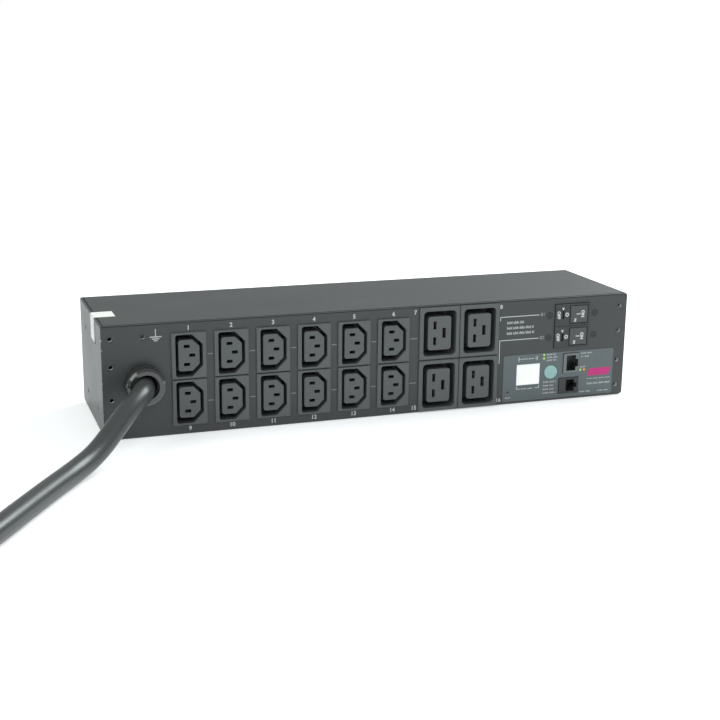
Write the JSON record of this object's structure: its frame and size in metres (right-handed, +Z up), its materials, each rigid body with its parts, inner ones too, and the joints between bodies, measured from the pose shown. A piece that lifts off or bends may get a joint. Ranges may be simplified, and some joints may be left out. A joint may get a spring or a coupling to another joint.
{
  "type": "rack power distribution unit",
  "caption": "Rack power distribution unit: black folded steel case with mains outlets, push-to-reset breakers, a display panel, network and serial jacks, and a mains cord with its plug.",
  "frame": {"origin": "centre of the bottom face", "axes": "+X to the right seen from the front, -Y out of the front panel, +Z up"},
  "size_m": [0.7679, 0.3878, 0.0884],
  "materials": {
    "black_paint": "fine textured black powder coat",
    "outlet_black": "black moulded plastic with a light grain",
    "black_plastic": "black moulded plastic",
    "rocker_black": "satin black rocker",
    "black_screw": "blackened steel",
    "zinc_steel": "bright zinc plated steel",
    "brass": "stamped brass",
    "copper": "bare copper strip",
    "overlay_print": "satin printed film",
    "board_green": "solder-masked circuit board",
    "display_white": "pale display face",
    "button_teal": "pale teal button",
    "button_white": "pale plastic plunger",
    "led_green": "tinted lens",
    "jack_metal": "tinned steel shell",
    "gland_gloss": "glossy black nylon",
    "rubber": "soft black rubber",
    "paper_white": "white paper seal",
    "cord_black": "matt black rubber jacket",
    "tie_black": "woven strap",
    "plug_black": "black nylon",
    "plug_blue": "blue moulded plastic",
    "terminal_white": "pale insulating plastic",
    "wire_brown": "brown insulation",
    "wire_blue": "blue insulation",
    "wire_green": "green insulation"
  },
  "bodies": {
    "case": {"board_standoffs": "zinc_steel", "breaker_1_body": "black_plastic", "breaker_2_body": "black_plastic", "breaker_guards": "black_plastic", "breaker_screws": "black_screw", "c13_contacts": "brass", "c13_outlet_01": "outlet_black", "c13_outlet_02": "outlet_black", "c13_outlet_03": "outlet_black", "c13_outlet_04": "outlet_black", "c13_outlet_05": "outlet_black", "c13_outlet_06": "outlet_black", "c13_outlet_07": "outlet_black", "c13_outlet_08": "outlet_black", "c13_outlet_09": "outlet_black", "c13_outlet_10": "outlet_black", "c13_outlet_11": "outlet_black", "c13_outlet_12": "outlet_black", "c19_contacts": "brass", "c19_outlet_01": "outlet_black", "c19_outlet_02": "outlet_black", "c19_outlet_03": "outlet_black", "c19_outlet_04": "outlet_black", "chassis_tray": "black_paint", "clinch_nuts": "zinc_steel", "control_board": "board_green", "cord_coil": "cord_black", "cord_ties": "tie_black", "cord_tube": "cord_black", "current_transformers": "plug_blue", "display_module": "display_white", "earth_bus_bars": "copper", "earth_wires": "wire_green", "gland_body": "black_plastic", "gland_lock_nut": "black_plastic", "gland_nut": "gland_gloss", "gland_seal": "rubber", "indicator_leds": "led_green", "jack_contacts": "brass", "line_bus_bars": "copper", "line_wires": "wire_brown", "network_jack": "jack_metal", "neutral_bus_bars": "copper", "neutral_wires": "wire_blue", "overlay_label": "overlay_print", "pan_screws": "zinc_steel", "plug_body": "plug_blue", "plug_nut": "plug_black", "plug_pins": "zinc_steel", "plug_shroud": "plug_blue", "power_supply": "black_plastic", "seal_sticker": "paper_white", "serial_jack": "black_plastic", "tact_switches": "black_plastic", "terminal_block": "terminal_white", "top_cover": "black_paint"},
    "breaker_1_rocker": {"breaker_1_rocker": "rocker_black"},
    "breaker_2_rocker": {"breaker_2_rocker": "rocker_black"},
    "select_button": {"select_button": "button_teal"},
    "reset_plunger": {"reset_plunger": "button_white"}
  },
  "joints": [
    {"name": "breaker_1_trip", "type": "hinge", "parent": "case", "child": "breaker_1_rocker", "pos_m": [0.168, -0.0525, 0.07305], "axis": [0, 0, -1], "range_deg": [0, 10]},
    {"name": "breaker_2_trip", "type": "hinge", "parent": "case", "child": "breaker_2_rocker", "pos_m": [0.168, -0.0525, 0.05425], "axis": [0, 0, -1], "range_deg": [0, 10]},
    {"name": "select_press", "type": "slide", "parent": "case", "child": "select_button", "axis": [0, 1, 0], "range_m": [0, 0.0008], "stiffness_N_per_m": 1800},
    {"name": "reset_press", "type": "slide", "parent": "case", "child": "reset_plunger", "axis": [0, 1, 0], "range_m": [0, 0.00025], "stiffness_N_per_m": 1800}
  ]
}
